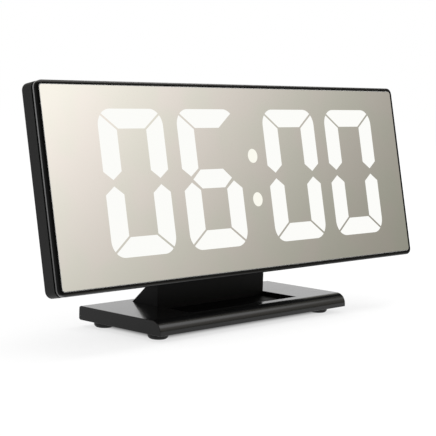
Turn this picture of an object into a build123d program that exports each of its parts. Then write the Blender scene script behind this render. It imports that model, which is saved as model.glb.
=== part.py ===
from build123d import *
from math import sqrt
import os

# Digital LED desk clock. Millimetres, Z up, the display faces -Y, origin on the table under the middle.
# The head is drawn upright (X across, Y depth behind the front plane, Z up the panel) and then leant back.

# Overall head
PANEL_W = 190.0
PANEL_H = 69.1
PANEL_R = 2.6
SIDE_D = 8.1
LEAN = 11.8
HEAD_LIFT = 12.55

# Clearances and cuts
FIT = 0.15
KEY_GAP = 0.25
OVERRUN = 1.0

# Base
BASE_W = 102.0
BASE_D = 41.0
BASE_H = 5.0
BASE_ROLL = 4.0
BASE_EDGE = 0.9
BASE_WALL = 1.6
BASE_TOP = 1.5
FLOOR_T = 1.2
FOOT_D = 7.3
FOOT_H = 2.4
FOOT_SEAT = 0.5
FOOT_ROUND = 1.4
FOOT_IN_LEFT = 6.2
FOOT_IN_RIGHT = 8.0
FOOT_IN_FRONT = 7.2
FOOT_IN_BACK = 6.6
BASE_SCREW_IN = 10.0
BASE_SCREW_Y = 4.5
BASE_BOSS_D = 5.0

# Neck, placed from the base's back edge, and the head, placed from the neck's back
NECK_W = 58.0
NECK_IN = 4.4
NECK_D = 12.9
NECK_RISE = 12.1
NECK_WALL = 2.0
NECK_RIB_T = 1.6
NECK_CELLS = 3
HEAD_REACH = 36.6
WINDOW_FRONT = 6.9
FLANGE = 4.5
FLANGE_BACK = 1.2
TONGUE_W = 44.0
TONGUE_T = 3.2
TONGUE_UP = 5.6
STAND_SCREW_X = 14.0
STAND_SCREW_UP = 2.8

# Front frame and mirror sheet
FRAME_D = 2.2
FRAME_ROUND = 0.6
SKIRT_D = 1.1
SKIRT_TAPER = 28.0
REVEAL = 0.8
RIM_X = 0.75
RIM_LOW = 1.4
RIM_HIGH = 1.15
LENS_SET = 0.3
LENS_T = 1.2
LENS_R = 1.3
LENS_BEVEL = 0.25
TAPE_T = 0.2
LEDGE_W = 2.4
PLUG_D = 2.4
EAR_H = 7.0

# Figures: margins from the panel's edges, shares of the display's width, strokes as shares of a figure's
DISPLAY_LEFT = 24.05
DISPLAY_RIGHT = 17.25
FIGURE_UP = 10.45
FIGURE_DROP = 9.35
FIGURE_SHARE = 0.2004
PITCH_SHARE = 0.2475
STROKE_SHARE = 0.27
FIGURE_R = 5.8
BAR_H = 6.5
MITRE_DROP = 0.7
MITRE_GAP = 0.9
POST_TIP = 1.15
POST_SHOULDER = 3.9
BAR_TIP = 5.0
BAR_SHOULDER = 9.1
DOT_D = 5.0
DOT_LOW = 0.4
DOT_PITCH = 16.0
PIPE_FIT = 0.06
WELL_LIP = 0.5

# Display block
BLOCK_RIM_X = 4.05
BLOCK_RIM_UP = 2.25
BLOCK_R = 2.0
BLOCK_GAP = 0.3
BLOCK_T = 4.6
BOARD_T = 1.6
LED_W = 2.8
LED_H = 1.4
LED_T = 0.9
CHIP_W = 7.5
CHIP_L = 17.9
CHIP_T = 2.3
DRIVER_X = 38.0
DRIVER_UP = 26.0
BOARD_SCREW_IN = 6.05

# Rear cover, its hump sized by the bay and the control board in it
COVER_WALL = 1.6
COVER_ROUND = 0.8
PAN_INSET = 3.2
PAN_R = 3.0
PAN_D = 2.9
PAN_TAPER = 20.0
HUMP_UP = 1.0
HUMP_D = 29.4
HUMP_R = 5.0
HUMP_EDGE = 1.2
HUMP_WALL = 1.8
POST_D = 4.4
POST_IN = 25.0
COVER_SCREW_IN = 9.7
COVER_SCREW_UP = 13.0
COVER_BOSS_D = 4.6

# Battery bay
CELL_D = 10.5
CELL_L = 44.5
CELL_NUB_D = 3.8
CELL_NUB = 1.0
CELL_GAP = 0.3
CELL_COUNT = 3
CELL_FLOOR_GAP = 0.2
CELL_DOOR_GAP = 0.7
BAY_WALL = 2.2
BAY_UP = 9.0
PLATE_T = 0.5
PLATE_S = 8.4
SPRING_L = 4.2
SPRING_T = 0.4
SPRING_W = 6.0
DOOR_LEDGE = 1.5
DOOR_T = 1.6
DOOR_GAP = 0.25
DOOR_PIN_D = 0.9
DOOR_PIN_L = 1.2
SCOOP_D = 9.0
SCOOP_DEEP = 0.9

# Keys and their switches
KEY_NAMES = ("set", "mode", "up", "down")
KEY_D = 5.4
KEY_PITCH = 17.0
KEY_PROUD = 0.8
KEY_CROWN = 0.3
KEY_FLANGE_W = 8.0
KEY_FLANGE_H = 6.0
KEY_FLANGE_T = 0.8
KEY_REST = 0.05
KEY_TRAVEL = 0.5
PLUNGER_D = 3.0
PLUNGER_T = 0.8
SWITCH_S = 6.0
SWITCH_T = 3.4
SWITCH_BORE = 1.8

# Control board and what it carries
CONTROL_T = 1.6
CONTROL_H = 6.0
CONTROL_GAP = 0.3
CONTROL_IN = 4.5
CONTROL_LEG_W = 16.5
CONTROL_LEG_GAP = 1.75
CONTROL_LEG_UP = 6.5
BAY_GAP = 2.9
CONTROL_SCREW_IN = 3.0
CONTROL_SCREW_UP = 20.5
CONTROL_CHIP_UP = 33.0
CRYSTAL_D = 3.0
CRYSTAL_L = 8.0
CRYSTAL_UP = 16.0
USB_W = 9.0
USB_H = 3.3
USB_WALL = 0.35
USB_DEEP = 5.6
USB_TONGUE_W = 6.7
USB_TONGUE_T = 0.7
USB_TONGUE_SET = 0.8
USB_SET = 0.6
USB_UP = 12.5
RIBBON_W = 10.0
RIBBON_T = 0.6
RIBBON_BOW = 3.0
RIBBON_DROP = 3.9
BUZZER_D = 16.0
BUZZER_T = 4.2
BUZZER_UP = 24.0
SOUND_HOLE_D = 1.5
SOUND_RING_D = 7.0
SOUND_RING_COUNT = 6

# Screws
SCREW_D = 2.2
SCREW_HEAD_D = 4.0
SCREW_HEAD_T = 0.9
SCREW_GRIP = 3.4
SMALL_SCREW_D = 1.8
SMALL_HEAD_D = 3.4

# Places worked out from the sizes above
BASE_FRONT = -BASE_D / 2
BASE_Z = FOOT_H + BASE_H
FOOT_X = (FOOT_IN_LEFT - BASE_W / 2, BASE_W / 2 - FOOT_IN_RIGHT)
FOOT_Y = (FOOT_IN_FRONT - BASE_D / 2, BASE_D / 2 - FOOT_IN_BACK)
BASE_SCREW_X = BASE_W / 2 - BASE_SCREW_IN
NECK_BACK = BASE_D / 2 - NECK_IN
NECK_FRONT = NECK_BACK - NECK_D
HEAD = Pos(0, NECK_BACK - HEAD_REACH, BASE_Z + HEAD_LIFT) * Rot(-LEAN, 0, 0)
DISPLAY_W = PANEL_W - DISPLAY_LEFT - DISPLAY_RIGHT
DISPLAY_X = (DISPLAY_LEFT - DISPLAY_RIGHT) / 2
FIGURE_W = DISPLAY_W * FIGURE_SHARE
FIGURE_H = PANEL_H - FIGURE_UP - FIGURE_DROP
FIGURE_PITCH = DISPLAY_W * PITCH_SHARE
PAIR_PITCH = DISPLAY_W - FIGURE_W - 2 * FIGURE_PITCH
STROKE_W = FIGURE_W * STROKE_SHARE
LENS_BACK = LENS_SET + LENS_T
LEDGE_D = LENS_BACK + TAPE_T
PLUG_BACK = FRAME_D + PLUG_D
COVER_FRONT = FRAME_D + REVEAL
BLOCK_D = LENS_BACK + BLOCK_GAP
BOARD_D = BLOCK_D + BLOCK_T
BOARD_BACK = BOARD_D + BOARD_T
BLOCK_UP = FIGURE_UP + FIGURE_H / 2
BLOCK_W = DISPLAY_W + 2 * BLOCK_RIM_X
BLOCK_H = FIGURE_H + 2 * BLOCK_RIM_UP
PAN_BACK = SIDE_D + PAN_D
PAN_FLOOR = PAN_BACK - COVER_WALL
COVER_SCREW_X = PANEL_W / 2 - COVER_SCREW_IN
POST_X = PANEL_W / 2 - POST_IN
HUMP_FLOOR = HUMP_D - HUMP_WALL
DOOR_D = HUMP_D - DOOR_T
BAY_FLOOR = DOOR_D - CELL_DOOR_GAP - CELL_D - CELL_FLOOR_GAP
CELL_PITCH = CELL_D + CELL_GAP
BAY_L = CELL_L + SPRING_L + 2 * PLATE_T
BAY_H = CELL_PITCH * CELL_COUNT
BAY_SIDE = BAY_L / 2 + BAY_WALL + BAY_GAP
CONTROL_LEG_X = BAY_SIDE + CONTROL_LEG_W / 2
BUZZER_X = BAY_SIDE + BUZZER_D / 2
HUMP_W = 2 * (BAY_SIDE + CONTROL_LEG_W + CONTROL_LEG_GAP + HUMP_WALL)
CONTROL_W = HUMP_W - 2 * CONTROL_IN
CONTROL_SCREW_X = CONTROL_W / 2 - CONTROL_SCREW_IN
CONTROL_TOP = BAY_UP + BAY_H + BAY_WALL + CONTROL_GAP + CONTROL_H
KEY_UP = CONTROL_TOP - CONTROL_H / 2
RIBBON_UP = KEY_UP - RIBBON_DROP
HUMP_H = CONTROL_TOP + CONTROL_GAP + HUMP_WALL - HUMP_UP
DOOR_W = BAY_L + 2 * DOOR_LEDGE
DOOR_H = BAY_H + 2 * DOOR_LEDGE
DOOR_UP = BAY_UP - DOOR_LEDGE
DOOR_AXIS_UP = DOOR_UP + DOOR_GAP + DOOR_T / 2
FLANGE_D = HUMP_FLOOR - KEY_REST - KEY_FLANGE_T
SWITCH_TOP = FLANGE_D - PLUNGER_T
CONTROL_BACK = SWITCH_TOP - SWITCH_T
CONTROL_D = CONTROL_BACK - CONTROL_T
TONGUE_BACK = HUMP_FLOOR - FIT


def slab(outline, near, far):
    """Extrude an outline drawn in X and up, from one depth behind the front plane to another."""
    return extrude(Pos(0, far, 0) * (Plane.XZ * outline), far - near, dir=(0, -1, 0))


def rod(x, up, diameter, near, far):
    """A round bar along the depth."""
    return slab(Pos(x, up) * Circle(diameter / 2), near, far)


def beam(x, length, outline):
    """Extrude an outline drawn in depth and up, along X about x."""
    return Pos(x, 0, 0) * extrude(Plane.YZ * outline, length / 2, both=True)


def panel(inset):
    """The head's outline, drawn in by an even margin."""
    radius = max(PANEL_R - inset, LENS_R)
    return Pos(0, PANEL_H / 2) * RectangleRounded(PANEL_W - 2 * inset, PANEL_H - 2 * inset, radius)


def narrowed(outline, near, depth, taper):
    """Extrude an outline about the panel's middle towards the back, drawn in on the way."""
    plane = Plane(origin=(0, near, PANEL_H / 2), x_dir=(1, 0, 0), z_dir=(0, 1, 0))
    return extrude(plane * outline, depth, taper=taper)


def four(x, up):
    """The four places at +-x and at up from the panel's lower and upper edges."""
    return [(sx * x, place) for sx in (-1, 1) for place in (up, PANEL_H - up)]


def screw(x, up, seat, tip, diameter, head):
    """A screw whose head seats at one depth, facing the back, and whose tip is at a smaller depth."""
    return rod(x, up, diameter, tip, seat) + rod(x, up, head, seat, seat + SCREW_HEAD_T)


# Stand

STANDING = (Align.CENTER, Align.CENTER, Align.MIN)


def base_block(inset, height):
    """The base's plan as a block that stands on the underside of the base."""
    return Pos(0, 0, FOOT_H) * Box(BASE_W - 2 * inset, BASE_D - 2 * inset, height, align=STANDING)


def base_places():
    return [(sx * BASE_SCREW_X, sy * BASE_SCREW_Y) for sx in (-1, 1) for sy in (-1, 1)]


def foot_places():
    return [(x, y) for x in FOOT_X for y in FOOT_Y]


def post(x, y, diameter, low, high):
    """A round bar along Z."""
    return Pos(x, y, low) * Cylinder(diameter / 2, high - low, align=STANDING)


def neck_window():
    """The opening in the base's top that the neck stands in."""
    front = BASE_FRONT + WINDOW_FRONT
    depth = NECK_BACK + FIT - front
    return Pos(0, front + depth / 2) * Rectangle(NECK_W + 2 * FIT, depth)


def base_cover():
    block = base_block(0, BASE_H)
    front_top = block.edges().filter_by(Axis.X).group_by(Axis.Z)[-1].sort_by(Axis.Y)[0]
    block = fillet(front_top, BASE_ROLL)
    back = block.edges().filter_by(Axis.X).group_by(Axis.Y)[-1]
    block = fillet(back, BASE_EDGE)
    block -= Pos(0, 0, -OVERRUN) * base_block(BASE_WALL, BASE_H - BASE_TOP + OVERRUN)
    floor = FOOT_H + FLOOR_T
    for x, y in base_places():
        block += post(x, y, BASE_BOSS_D, floor, BASE_Z - BASE_TOP)
        block -= post(x, y, SCREW_D + 2 * PIPE_FIT, floor, BASE_Z - BASE_TOP / 2)
    block -= Pos(0, 0, BASE_Z - BASE_TOP) * extrude(neck_window(), BASE_TOP + OVERRUN)
    return block


def base_floor():
    plate = base_block(BASE_WALL + FIT, FLOOR_T)
    for x, y in base_places():
        plate -= post(x, y, SCREW_D + 2 * FIT, FOOT_H, FOOT_H + FLOOR_T)
    for x, y in foot_places():
        plate -= post(x, y, FOOT_D + 2 * PIPE_FIT, FOOT_H, FOOT_H + FOOT_SEAT)
    return plate


def feet():
    pads = []
    for x, y in foot_places():
        pad = post(x, y, FOOT_D, 0, FOOT_H + FOOT_SEAT)
        pads.append(fillet(pad.edges().sort_by(Axis.Z)[0], FOOT_ROUND))
    return pads


def base_screws():
    screws = []
    for x, y in base_places():
        shank = post(x, y, SCREW_D, FOOT_H, BASE_Z - BASE_TOP)
        screws.append(shank + post(x, y, SCREW_HEAD_D, FOOT_H - SCREW_HEAD_T, FOOT_H))
    return screws


def tongue(margin):
    """The neck's tongue, or with a margin the socket that takes it, in the head's frame."""
    depth = TONGUE_BACK - TONGUE_T / 2
    outline = Pos(0, depth) * Rectangle(TONGUE_W + 2 * margin, TONGUE_T + 2 * margin)
    return Pos(0, 0, HUMP_UP - OVERRUN) * extrude(outline, TONGUE_UP + margin + OVERRUN)


def neck_hollows(low):
    """The pockets under the neck's sloping back, open below, with ribs left between them."""
    slope = NECK_RISE / NECK_D
    drop = NECK_WALL * sqrt(1 + slope * slope)
    front = NECK_FRONT + NECK_WALL
    back = NECK_BACK - NECK_WALL - drop
    top = BASE_Z + NECK_RISE - drop - slope * NECK_WALL
    heel = top - slope * (back - front)
    outline = Polygon((front, low), (front, top), (back, heel), (back, low), align=None)
    width = (NECK_W - 2 * NECK_WALL - (NECK_CELLS - 1) * NECK_RIB_T) / NECK_CELLS
    first = -(width + NECK_RIB_T) * (NECK_CELLS - 1) / 2
    return [beam(first + (width + NECK_RIB_T) * index, width, outline) for index in range(NECK_CELLS)]


def neck_bracket():
    low = BASE_Z - BASE_TOP
    foot = FOOT_H + FLOOR_T
    front = [(NECK_FRONT, low), (NECK_FRONT, BASE_Z + NECK_RISE)]
    back = [(NECK_BACK, BASE_Z), (NECK_BACK, low)]
    neck = beam(0, NECK_W, Polygon(*front, *back, align=None))
    neck -= HEAD * Pos(0, 0, HUMP_UP) * Box(HUMP_W, PANEL_W, HUMP_H, align=STANDING)
    neck += HEAD * tongue(0)
    flange_front = BASE_FRONT + WINDOW_FRONT - FLANGE / 2
    depth = NECK_BACK + FLANGE_BACK - flange_front
    flange = Pos(0, flange_front + depth / 2) * Rectangle(NECK_W + 2 * FLANGE, depth)
    neck += Pos(0, 0, foot) * extrude(flange, low - foot)
    neck -= neck_hollows(foot)
    for sx in (-1, 1):
        hole = rod(sx * STAND_SCREW_X, HUMP_UP + STAND_SCREW_UP, SCREW_D + 2 * PIPE_FIT, 0, HUMP_D)
        neck -= HEAD * hole
    return neck


def stand_screws():
    up = HUMP_UP + STAND_SCREW_UP
    seat = HUMP_D - SCREW_HEAD_T
    tip = TONGUE_BACK - TONGUE_T
    return [screw(sx * STAND_SCREW_X, up, seat, tip, SCREW_D, SCREW_HEAD_D) for sx in (-1, 1)]


# Front of the head

def opening(inset):
    """The frame's opening for the mirror sheet, drawn in by an even margin."""
    width = PANEL_W - 2 * RIM_X - 2 * inset
    height = PANEL_H - RIM_LOW - RIM_HIGH - 2 * inset
    return Pos(0, (PANEL_H + RIM_LOW - RIM_HIGH) / 2) * RectangleRounded(width, height, LENS_R)


def front_frame():
    ring = slab(panel(0), 0, FRAME_D - SKIRT_D)
    ring = fillet(ring.faces().sort_by(Axis.Y)[0].edges(), FRAME_ROUND)
    ring += narrowed(RectangleRounded(PANEL_W, PANEL_H, PANEL_R), FRAME_D - SKIRT_D, SKIRT_D, SKIRT_TAPER)
    ring += slab(panel(COVER_WALL + FIT), FRAME_D, PLUG_BACK)
    ring -= slab(opening(0), -OVERRUN, LEDGE_D)
    ring -= slab(opening(LEDGE_W), LEDGE_D, PLUG_BACK)
    for x, up in four(COVER_SCREW_X, COVER_SCREW_UP):
        reach = PANEL_W / 2 - RIM_X - LEDGE_W / 2 - abs(x) + COVER_BOSS_D / 2
        side = 1 if x > 0 else -1
        arm = Pos(x + side * (reach - COVER_BOSS_D) / 2, up) * Rectangle(reach, EAR_H)
        ring += slab(arm, COVER_FRONT, PLUG_BACK)
        ring += rod(x, up, COVER_BOSS_D, COVER_FRONT, PAN_FLOOR)
        ring -= rod(x, up, SCREW_D + 2 * PIPE_FIT, PAN_FLOOR - SCREW_GRIP, PAN_FLOOR)
    return ring


def across(points):
    """A figure's points, mirrored from side to side."""
    return [(FIGURE_W - x, y) for x, y in reversed(points)]


def over(points):
    """A figure's points, mirrored from top to bottom."""
    return [(x, FIGURE_H - y) for x, y in reversed(points)]


def figure_outlines():
    """The seven outlines of one figure, keyed in the usual way from a at the top to g in the middle."""
    slope = (BAR_H - MITRE_DROP) / STROKE_W
    shift = MITRE_GAP / 2 * sqrt(1 + slope * slope)
    corner = FIGURE_H - MITRE_DROP
    inner = FIGURE_H - BAR_H
    reach = (corner + shift - inner) / slope
    middle = FIGURE_H / 2
    half = BAR_H / 2
    top = [(0, corner + shift), (0, FIGURE_H), (FIGURE_W, FIGURE_H), (FIGURE_W, corner + shift)]
    top += [(FIGURE_W - reach, inner), (reach, inner)]
    upper_left = [(0, middle + POST_SHOULDER), (0, corner - shift), (STROKE_W, inner - shift)]
    upper_left += [(STROKE_W, middle + POST_SHOULDER), (STROKE_W / 2, middle + POST_TIP)]
    bar_left = [(BAR_SHOULDER, middle - half), (BAR_TIP, middle), (BAR_SHOULDER, middle + half)]
    points = {"a": top, "f": upper_left, "b": across(upper_left), "d": over(top)}
    points["e"] = over(upper_left)
    points["c"] = across(over(upper_left))
    points["g"] = bar_left + across(bar_left)
    rounded = Pos(FIGURE_W / 2, FIGURE_H / 2) * RectangleRounded(FIGURE_W, FIGURE_H, FIGURE_R)
    return {key: Polygon(*outline, align=None) & rounded for key, outline in points.items()}


FIGURES = {"hour_tens": "abcdef", "hour_units": "acdefg", "minute_tens": "abcdef", "minute_units": "abcdef"}


def figure_places():
    """Each figure's lower left corner."""
    near = PAIR_PITCH / 2
    far = near + FIGURE_PITCH
    centres = zip(FIGURES, (-far, -near, near, far))
    return {name: Pos(DISPLAY_X + x - FIGURE_W / 2, FIGURE_UP) for name, x in centres}


def dot_outlines():
    up = BLOCK_UP - DOT_LOW
    return [Pos(DISPLAY_X, up + side * DOT_PITCH / 2) * Circle(DOT_D / 2) for side in (-1, 1)]


OUTLINES = {name: {key: place * outline for key, outline in figure_outlines().items()}
            for name, place in figure_places().items()}


def all_outlines():
    """Every light window of the display."""
    return [outline for figure in OUTLINES.values() for outline in figure.values()] + dot_outlines()


def light_pipe(outline):
    """One clear segment, flush with the mirror's face and seated on the display block."""
    return slab(outline, LENS_SET, BLOCK_D)


def lit_segments(name):
    return [light_pipe(OUTLINES[name][key]) for key in FIGURES[name]]


def unlit_segments():
    dark = []
    for name, lit in FIGURES.items():
        dark += [light_pipe(outline) for key, outline in OUTLINES[name].items() if key not in lit]
    return dark


def colon_dots():
    return [light_pipe(outline) for outline in dot_outlines()]


def mirror_lens():
    sheet = slab(opening(FIT), LENS_SET, LENS_BACK)
    sheet = chamfer(sheet.faces().sort_by(Axis.Y)[0].edges(), LENS_BEVEL)
    windows = [slab(offset(outline, PIPE_FIT), 0, LENS_BACK + OVERRUN) for outline in all_outlines()]
    return sheet - windows


def lens_tape():
    return slab(opening(FIT) - opening(LEDGE_W), LENS_BACK, LEDGE_D)


# Display block

def block_outline():
    return Pos(DISPLAY_X, BLOCK_UP) * RectangleRounded(BLOCK_W, BLOCK_H, BLOCK_R)


def board_screw_places():
    x = PAIR_PITCH / 2 + FIGURE_PITCH / 2
    rise = BLOCK_H / 2 - BOARD_SCREW_IN
    return [(DISPLAY_X + sx * x, BLOCK_UP + side * rise) for sx in (-1, 1) for side in (-1, 1)]


def segment_housing():
    block = slab(block_outline(), BLOCK_D, BOARD_D)
    wells = [slab(offset(outline, -WELL_LIP), BLOCK_D, BOARD_D) for outline in all_outlines()]
    wells += [rod(x, up, SMALL_SCREW_D + 2 * PIPE_FIT, BOARD_D - SCREW_GRIP, BOARD_D)
              for x, up in board_screw_places()]
    return block - wells


def display_board():
    board = slab(block_outline(), BOARD_D, BOARD_BACK)
    for x, up in board_screw_places():
        board -= rod(x, up, SMALL_SCREW_D + 2 * FIT, BOARD_D, BOARD_BACK)
    return board


def display_leds():
    leds = []
    for outline in all_outlines():
        middle = outline.center()
        leds.append(slab(Pos(middle.X, middle.Y) * Rectangle(LED_W, LED_H), BOARD_D - LED_T, BOARD_D))
    return leds


def display_driver():
    return slab(Pos(-DRIVER_X, DRIVER_UP) * Rectangle(CHIP_W, CHIP_L), BOARD_BACK, BOARD_BACK + CHIP_T)


def board_screws():
    return [screw(x, up, BOARD_BACK, BOARD_D - SCREW_GRIP, SMALL_SCREW_D, SMALL_HEAD_D)
            for x, up in board_screw_places()]


# Rear cover

def pan(inset, depth):
    """The shallow step behind the side wall, with sloping sides."""
    margin = PAN_INSET + inset
    outline = RectangleRounded(PANEL_W - 2 * margin, PANEL_H - 2 * margin, PAN_R)
    return narrowed(outline, depth, PAN_D, PAN_TAPER)


def hump(inset):
    """The outline of the deep part of the cover."""
    outline = RectangleRounded(HUMP_W - 2 * inset, HUMP_H - 2 * inset, HUMP_R - inset)
    return Pos(0, HUMP_UP + HUMP_H / 2) * outline


def bay(margin):
    """The outline of the battery bay, drawn out by an even margin."""
    return Pos(0, BAY_UP + BAY_H / 2) * Rectangle(BAY_L + 2 * margin, BAY_H + 2 * margin)


def key_places():
    first = -KEY_PITCH * (len(KEY_NAMES) - 1) / 2
    return {name: first + KEY_PITCH * index for index, name in enumerate(KEY_NAMES)}


def control_posts():
    """Where the control board is screwed to the cover."""
    return [(-CONTROL_SCREW_X, KEY_UP), (CONTROL_SCREW_X, KEY_UP), (CONTROL_LEG_X, CONTROL_SCREW_UP)]


def usb_outline(margin):
    width = USB_W + 2 * margin
    height = USB_H + 2 * margin
    return Pos(CONTROL_LEG_X, USB_UP) * SlotOverall(width, height)


def sound_holes():
    holes = [Circle(SOUND_HOLE_D / 2)]
    holes += PolarLocations(SOUND_RING_D / 2, SOUND_RING_COUNT) * Circle(SOUND_HOLE_D / 2)
    place = Pos(-BUZZER_X, BUZZER_UP)
    return [slab(place * hole, HUMP_FLOOR - OVERRUN, HUMP_D + OVERRUN) for hole in holes]


def cover_shell():
    """Side wall, pan and hump as one hollow moulding, open at the front."""
    rim = slab(panel(0), COVER_FRONT, SIDE_D)
    rim = fillet(rim.faces().sort_by(Axis.Y)[-1].edges(), COVER_ROUND)
    deep = slab(hump(0), SIDE_D - COVER_WALL, HUMP_D)
    deep = fillet(deep.faces().sort_by(Axis.Y)[-1].edges(), HUMP_EDGE)
    shell = rim + pan(0, SIDE_D) + deep
    shell -= slab(panel(COVER_WALL), COVER_FRONT, SIDE_D - COVER_WALL)
    shell -= pan(COVER_WALL, SIDE_D - COVER_WALL)
    shell -= slab(hump(HUMP_WALL), COVER_FRONT, HUMP_FLOOR)
    return shell


def rear_cover():
    shell = cover_shell()
    shell += slab(bay(BAY_WALL), BAY_FLOOR - BAY_WALL, HUMP_FLOOR)
    socket_h = BAY_UP - BAY_WALL - HUMP_UP
    socket_t = TONGUE_T + 2 * FIT + HUMP_WALL
    socket = Pos(0, HUMP_UP + socket_h / 2) * Rectangle(TONGUE_W + 2 * FIT + 2 * HUMP_WALL, socket_h)
    shell += slab(socket, HUMP_FLOOR - socket_t, HUMP_FLOOR)
    shell -= tongue(FIT)
    shell -= slab(bay(0), BAY_FLOOR, HUMP_D + OVERRUN)
    shell -= slab(bay(DOOR_LEDGE), DOOR_D, HUMP_D + OVERRUN)
    pin = Pos(0, DOOR_D + DOOR_T / 2, DOOR_AXIS_UP) * Rot(0, 90, 0)
    shell -= pin * Cylinder((DOOR_PIN_D + DOOR_GAP) / 2, DOOR_W + 2 * DOOR_PIN_L)
    shell -= rod(0, DOOR_UP + DOOR_H, SCOOP_D, HUMP_D - SCOOP_DEEP, HUMP_D + OVERRUN)
    for x, up in four(POST_X, COVER_SCREW_UP):
        shell += rod(x, up, POST_D, BOARD_BACK, PAN_FLOOR + COVER_WALL / 2)
    for x, up in four(COVER_SCREW_X, COVER_SCREW_UP):
        shell -= rod(x, up, SCREW_D + 2 * FIT, PAN_FLOOR, PAN_BACK)
        shell -= rod(x, up, SCREW_HEAD_D + 2 * FIT, PAN_BACK - SCREW_HEAD_T, PAN_BACK + OVERRUN)
    up = HUMP_UP + STAND_SCREW_UP
    for x in (-STAND_SCREW_X, STAND_SCREW_X):
        shell -= rod(x, up, SCREW_D + 2 * FIT, TONGUE_BACK - TONGUE_T, HUMP_D)
        shell -= rod(x, up, SCREW_HEAD_D + 2 * FIT, HUMP_D - SCREW_HEAD_T, HUMP_D + OVERRUN)
    for x, up in control_posts():
        shell += rod(x, up, POST_D, CONTROL_BACK, HUMP_FLOOR + HUMP_WALL / 2)
        shell -= rod(x, up, SMALL_SCREW_D + 2 * PIPE_FIT, CONTROL_BACK, CONTROL_BACK + SCREW_GRIP)
    for x in key_places().values():
        shell -= rod(x, KEY_UP, KEY_D + 2 * KEY_GAP, HUMP_FLOOR - OVERRUN, HUMP_D + OVERRUN)
    shell -= slab(usb_outline(FIT), HUMP_FLOOR - OVERRUN, HUMP_D + OVERRUN)
    return shell - sound_holes()


def cover_screws():
    seat = PAN_BACK - SCREW_HEAD_T
    tip = PAN_FLOOR - SCREW_GRIP
    return [screw(x, up, seat, tip, SCREW_D, SCREW_HEAD_D) for x, up in four(COVER_SCREW_X, COVER_SCREW_UP)]


# Battery bay

def cell_rows():
    """Height of each cell's axis, and the side that its raised end points to."""
    first = BAY_UP + CELL_PITCH / 2
    return [(first + CELL_PITCH * row, 1 if row % 2 == 0 else -1) for row in range(CELL_COUNT)]


def cell_ends(side):
    """The X of the bay's end wall on the plus side, and of the cell's flat end."""
    plus = side * (BAY_L / 2 - PLATE_T)
    return plus, plus - side * CELL_L


def battery_cells():
    cells = []
    depth = BAY_FLOOR + CELL_FLOOR_GAP + CELL_D / 2
    for up, side in cell_rows():
        plus, flat = cell_ends(side)
        shoulder = plus - side * CELL_NUB
        can = Pos((shoulder + flat) / 2, depth, up) * Rot(0, 90, 0) * Cylinder(CELL_D / 2, CELL_L - CELL_NUB)
        nub = Pos((shoulder + plus) / 2, depth, up) * Rot(0, 90, 0) * Cylinder(CELL_NUB_D / 2, CELL_NUB)
        cells.append(can + nub)
    return cells


def cell_plates():
    plates = []
    depth = BAY_FLOOR + PLATE_S / 2
    for up, _ in cell_rows():
        for end in (-1, 1):
            plates.append(Pos(end * (BAY_L - PLATE_T) / 2, depth, up) * Box(PLATE_T, PLATE_S, PLATE_S))
    return plates


def cell_springs():
    """Bowed leaf that presses each cell's flat end."""
    springs = []
    depth = BAY_FLOOR + PLATE_S / 2
    half = SPRING_W / 2
    inner = SPRING_L - SPRING_T
    bow = ThreePointArc((-half, 0), (0, SPRING_L), (half, 0))
    hollow = ThreePointArc((half - SPRING_T, 0), (0, inner), (SPRING_T - half, 0))
    rims = Line(bow @ 1, hollow @ 0) + Line(hollow @ 1, bow @ 0)
    outline = make_face(bow + hollow + rims)
    for up, side in cell_rows():
        leaf = extrude(outline, SPRING_W / 2, both=True)
        plate = -side * (BAY_L / 2 - PLATE_T)
        springs.append(Pos(plate, depth, up) * Rot(0, 0, -side * 90) * leaf)
    return springs


def battery_door():
    top = DOOR_UP + DOOR_H - DOOR_GAP
    width = DOOR_W - 2 * DOOR_GAP
    plate = Pos(0, (DOOR_AXIS_UP + top) / 2) * Rectangle(width, top - DOOR_AXIS_UP)
    axis = Pos(0, DOOR_D + DOOR_T / 2, DOOR_AXIS_UP) * Rot(0, 90, 0)
    door = slab(plate, DOOR_D, HUMP_D) + axis * Cylinder(DOOR_T / 2, width)
    door += axis * Cylinder(DOOR_PIN_D / 2, width + 2 * DOOR_PIN_L)
    return door - rod(0, DOOR_UP + DOOR_H, SCOOP_D, HUMP_D - SCOOP_DEEP, HUMP_D + OVERRUN)


# Keys and control board

def key(name):
    x = key_places()[name]
    cap = rod(x, KEY_UP, KEY_D, FLANGE_D, HUMP_D + KEY_PROUD)
    cap = fillet(cap.faces().sort_by(Axis.Y)[-1].edges(), KEY_CROWN)
    flange = Pos(x, KEY_UP) * Rectangle(KEY_FLANGE_W, KEY_FLANGE_H)
    return cap + slab(flange, FLANGE_D, FLANGE_D + KEY_FLANGE_T)


def plunger(name):
    return rod(key_places()[name], KEY_UP, PLUNGER_D, SWITCH_TOP - KEY_TRAVEL, FLANGE_D)


def key_switches():
    switches = []
    for x in key_places().values():
        body = slab(Pos(x, KEY_UP) * Rectangle(SWITCH_S, SWITCH_S), CONTROL_BACK, SWITCH_TOP)
        bore = rod(x, KEY_UP, PLUNGER_D + 2 * KEY_GAP, SWITCH_TOP - SWITCH_BORE, SWITCH_TOP)
        switches.append(body - bore)
    return switches


def control_board():
    strip = Pos(0, KEY_UP) * Rectangle(CONTROL_W, CONTROL_H)
    leg_h = CONTROL_TOP - CONTROL_LEG_UP
    leg = Pos(CONTROL_LEG_X, CONTROL_LEG_UP + leg_h / 2) * Rectangle(CONTROL_LEG_W, leg_h)
    board = slab(strip + leg, CONTROL_D, CONTROL_BACK)
    for x, up in control_posts():
        board -= rod(x, up, SMALL_SCREW_D + 2 * FIT, CONTROL_D, CONTROL_BACK)
    return board


def control_screws():
    screws = []
    for x, up in control_posts():
        shank = rod(x, up, SMALL_SCREW_D, CONTROL_D, CONTROL_BACK + SCREW_GRIP)
        screws.append(shank + rod(x, up, SMALL_HEAD_D, CONTROL_D - SCREW_HEAD_T, CONTROL_D))
    return screws


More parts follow.
